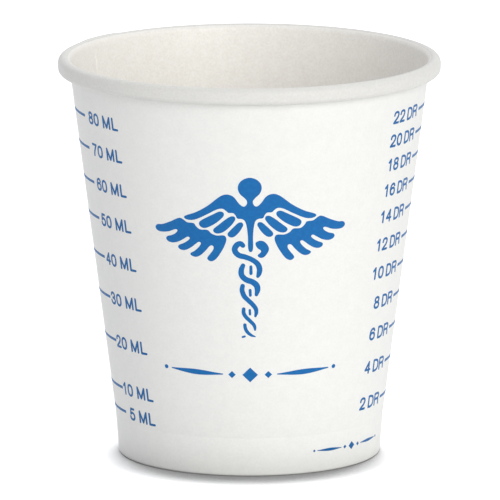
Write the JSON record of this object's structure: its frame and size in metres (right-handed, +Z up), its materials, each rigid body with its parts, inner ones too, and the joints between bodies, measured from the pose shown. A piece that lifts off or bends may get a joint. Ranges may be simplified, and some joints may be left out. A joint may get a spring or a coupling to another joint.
{
  "type": "medicine cup",
  "caption": "Small paper cup for measured doses: tapered wrapped wall with a rolled rim and lapped side seam, and a flanged bottom held in the folded foot.",
  "frame": {"origin": "on the cup's axis, in the plane that its foot rests on", "axes": "+Z up along the cup's axis, -Y towards the printed front, +X to the right of a viewer facing that front"},
  "size_m": [0.0573, 0.0572, 0.0601],
  "materials": {
    "coated_board": "coated satin",
    "bottom_board": "coated satin",
    "blue_ink": "printed ink"
  },
  "bodies": {
    "root": {"sidewall": "coated_board", "bottom": "bottom_board"}
  },
  "joints": []
}
